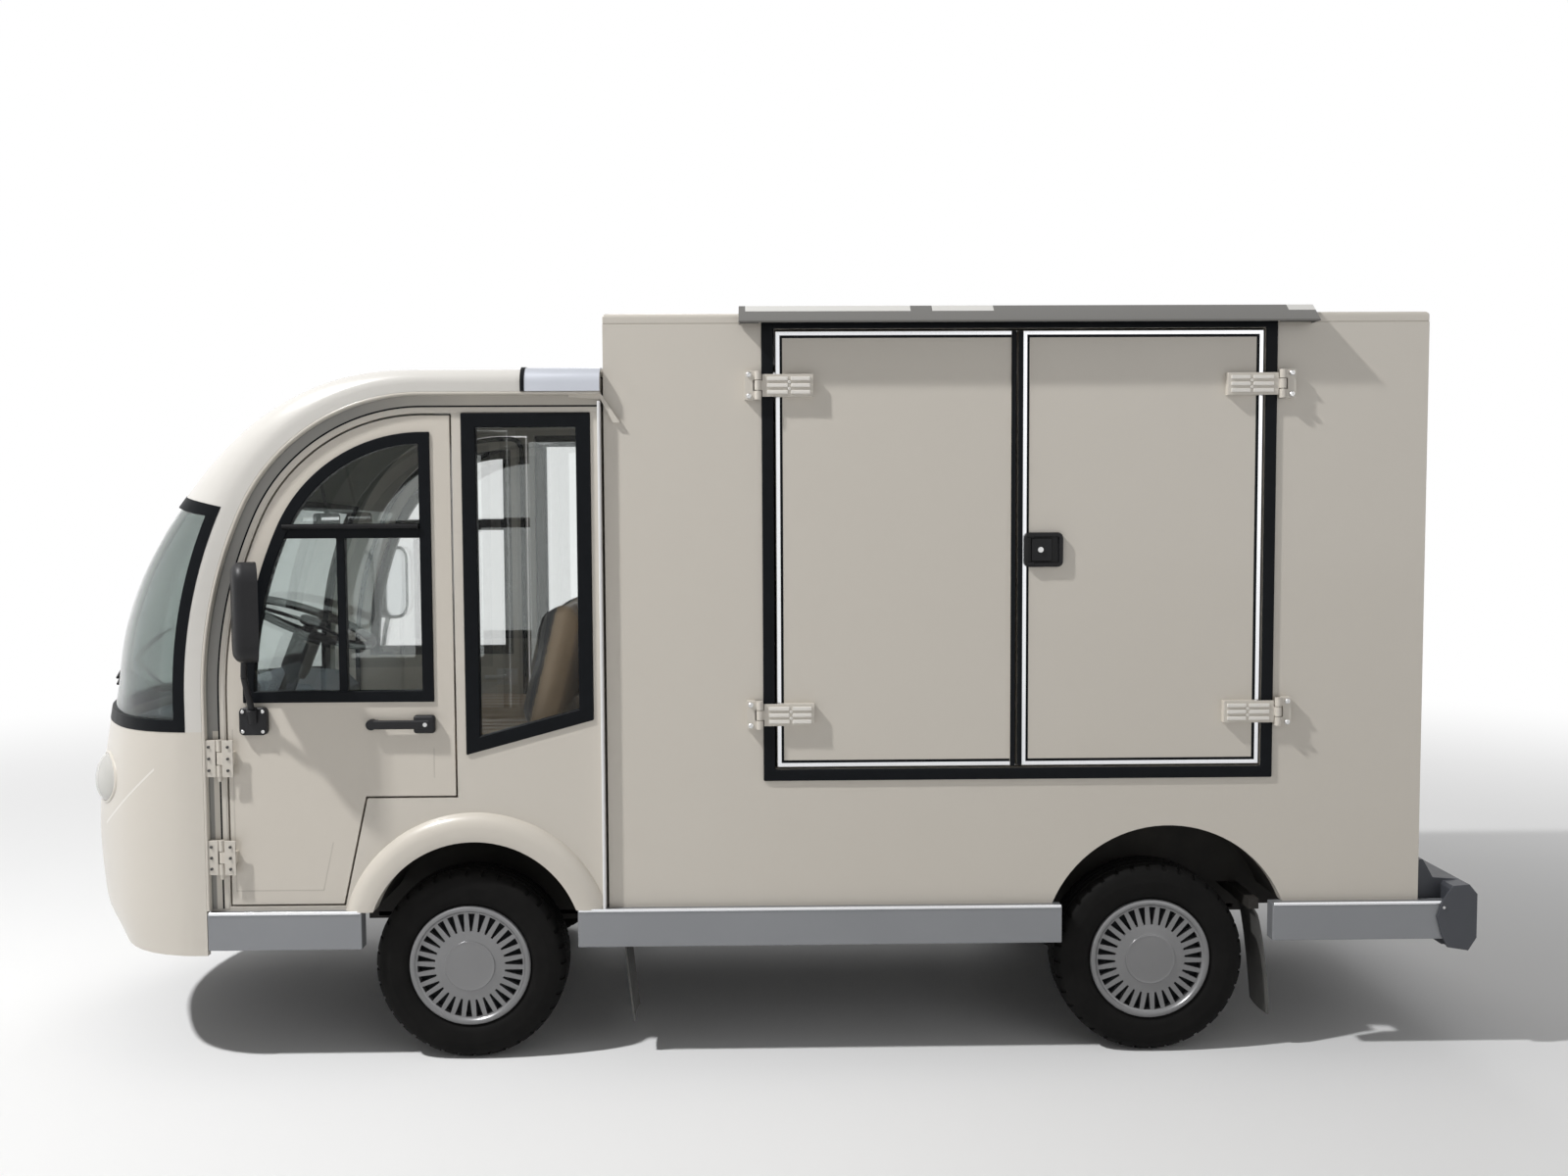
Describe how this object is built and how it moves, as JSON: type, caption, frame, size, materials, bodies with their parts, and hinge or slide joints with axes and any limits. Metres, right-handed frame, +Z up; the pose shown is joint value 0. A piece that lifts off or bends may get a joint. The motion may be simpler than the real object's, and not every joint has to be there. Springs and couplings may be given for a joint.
{
  "type": "electric catering truck",
  "caption": "Low-speed electric catering truck with a rounded cab, sliding door windows and a cargo box with strap-hinged double side doors",
  "frame": {"origin": "centre of the overall length and width, on the road", "axes": "X runs from the nose (-X) to the rear, Y to the truck's right, Z up"},
  "size_m": [4.2498, 1.712, 2.199],
  "materials": {
    "body_paint": "gloss",
    "skirt_grey": "satin",
    "chassis_black": "satin",
    "seal_rubber": "matte",
    "tyre_rubber": "matte",
    "bright_rim": "satin",
    "hubcap_silver": "gloss",
    "black_plastic": "matte",
    "bumper_plastic": "matte",
    "trim_plastic": "matte",
    "window_glass": "gloss",
    "lamp_lens": "gloss",
    "red_lens": "gloss",
    "seat_cover": "satin",
    "floor_mat": "matte",
    "steel": "satin"
  },
  "bodies": {
    "chassis": {"cab_roof": "body_paint", "nose_fascia": "body_paint", "cab_side_left": "body_paint", "cab_side_right": "body_paint", "cab_rear_wall": "body_paint", "box_side_left": "body_paint", "box_side_right": "body_paint", "box_roof": "body_paint", "door_gutters": "body_paint", "side_skirts": "skirt_grey", "roof_flashing": "bright_rim", "windscreen_surround": "seal_rubber", "quarter_frames": "seal_rubber", "doorway_seals": "seal_rubber", "mudflaps": "seal_rubber", "windscreen_glass": "window_glass", "quarter_glass": "window_glass", "headlamps": "lamp_lens", "tail_lamps": "red_lens", "steering_column": "black_plastic", "dashboard": "trim_plastic", "rear_bumper": "bumper_plastic", "seat_cushions": "seat_cover", "seat_backs": "seat_cover", "cab_floor": "floor_mat", "box_floor": "steel", "rear_axle": "steel", "front_axle_beam": "steel", "chassis_frame": "chassis_black", "leaf_springs": "chassis_black", "battery_box": "chassis_black", "rear_wheel_wells": "chassis_black", "front_wheel_wells": "chassis_black", "box_end_walls": "body_paint"},
    "knuckle_left": {"knuckle_left": "steel"},
    "knuckle_right": {"knuckle_right": "steel"},
    "wheel_front_left": {"tyre_front_left": "tyre_rubber", "wheel_front_left": "hubcap_silver"},
    "wheel_front_right": {"tyre_front_right": "tyre_rubber", "wheel_front_right": "hubcap_silver"},
    "wheel_rear_left": {"tyre_rear_left": "tyre_rubber", "wheel_rear_left": "hubcap_silver"},
    "wheel_rear_right": {"tyre_rear_right": "tyre_rubber", "wheel_rear_right": "hubcap_silver"},
    "cab_door_left": {"cab_door_left": "body_paint", "door_window_frame_left": "seal_rubber", "door_glass_left": "window_glass", "door_fittings_left": "black_plastic"},
    "cab_door_right": {"cab_door_right": "body_paint", "door_window_frame_right": "seal_rubber", "door_glass_right": "window_glass", "door_fittings_right": "black_plastic"},
    "cargo_door_left_front": {"cargo_door_left_front": "body_paint"},
    "cargo_door_left_rear": {"cargo_door_left_rear": "body_paint", "cargo_latch_left": "black_plastic"},
    "cargo_door_right_front": {"cargo_door_right_front": "body_paint"},
    "cargo_door_right_rear": {"cargo_door_right_rear": "body_paint", "cargo_latch_right": "black_plastic"},
    "steering_wheel": {"steering_wheel": "black_plastic"}
  },
  "joints": [
    {"name": "steer_left", "type": "hinge", "parent": "chassis", "child": "knuckle_left", "pos_m": [-0.835, -0.545, 0.281], "axis": [0, 0, 1], "range_deg": [-30, 30]},
    {"name": "steer_right", "type": "hinge", "parent": "chassis", "child": "knuckle_right", "pos_m": [-0.835, 0.545, 0.281], "axis": [0, 0, 1], "range_deg": [-30, 30]},
    {"name": "spin_front_left", "type": "hinge", "parent": "knuckle_left", "child": "wheel_front_left", "pos_m": [-0.835, -0.592, 0.281], "axis": [0, 1, 0], "continuous": true},
    {"name": "spin_front_right", "type": "hinge", "parent": "knuckle_right", "child": "wheel_front_right", "pos_m": [-0.835, 0.592, 0.281], "axis": [0, 1, 0], "continuous": true},
    {"name": "spin_rear_left", "type": "hinge", "parent": "chassis", "child": "wheel_rear_left", "pos_m": [1.175, -0.592, 0.281], "axis": [0, 1, 0], "continuous": true},
    {"name": "spin_rear_right", "type": "hinge", "parent": "chassis", "child": "wheel_rear_right", "pos_m": [1.175, 0.592, 0.281], "axis": [0, 1, 0], "continuous": true},
    {"name": "cab_door_left_hinge", "type": "hinge", "parent": "chassis", "child": "cab_door_left", "pos_m": [-1.54, -0.694, 0.7645], "axis": [0, 0, -1], "range_deg": [0, 70]},
    {"name": "cab_door_right_hinge", "type": "hinge", "parent": "chassis", "child": "cab_door_right", "pos_m": [-1.54, 0.694, 0.7645], "axis": [0, 0, 1], "range_deg": [0, 70]},
    {"name": "cargo_left_front_hinge", "type": "hinge", "parent": "chassis", "child": "cargo_door_left_front", "pos_m": [0.023, -0.702, 1.4985], "axis": [0, 0, -1], "range_deg": [0, 110]},
    {"name": "cargo_left_rear_hinge", "type": "hinge", "parent": "chassis", "child": "cargo_door_left_rear", "pos_m": [1.533, -0.702, 1.4985], "axis": [0, 0, 1], "range_deg": [0, 110]},
    {"name": "cargo_right_front_hinge", "type": "hinge", "parent": "chassis", "child": "cargo_door_right_front", "pos_m": [0.023, 0.702, 1.4985], "axis": [0, 0, 1], "range_deg": [0, 110]},
    {"name": "cargo_right_rear_hinge", "type": "hinge", "parent": "chassis", "child": "cargo_door_right_rear", "pos_m": [1.533, 0.702, 1.4985], "axis": [0, 0, -1], "range_deg": [0, 110]},
    {"name": "steering_wheel_turn", "type": "hinge", "parent": "chassis", "child": "steering_wheel", "pos_m": [-1.38, -0.32, 1.27], "axis": [0.3746, 0, 0.9272], "range_deg": [-360, 360]}
  ],
  "couplings": [
    {"joint": "steer_right", "follows": "steer_left", "ratio": 1},
    {"joint": "steering_wheel_turn", "follows": "steer_left", "ratio": 12}
  ]
}
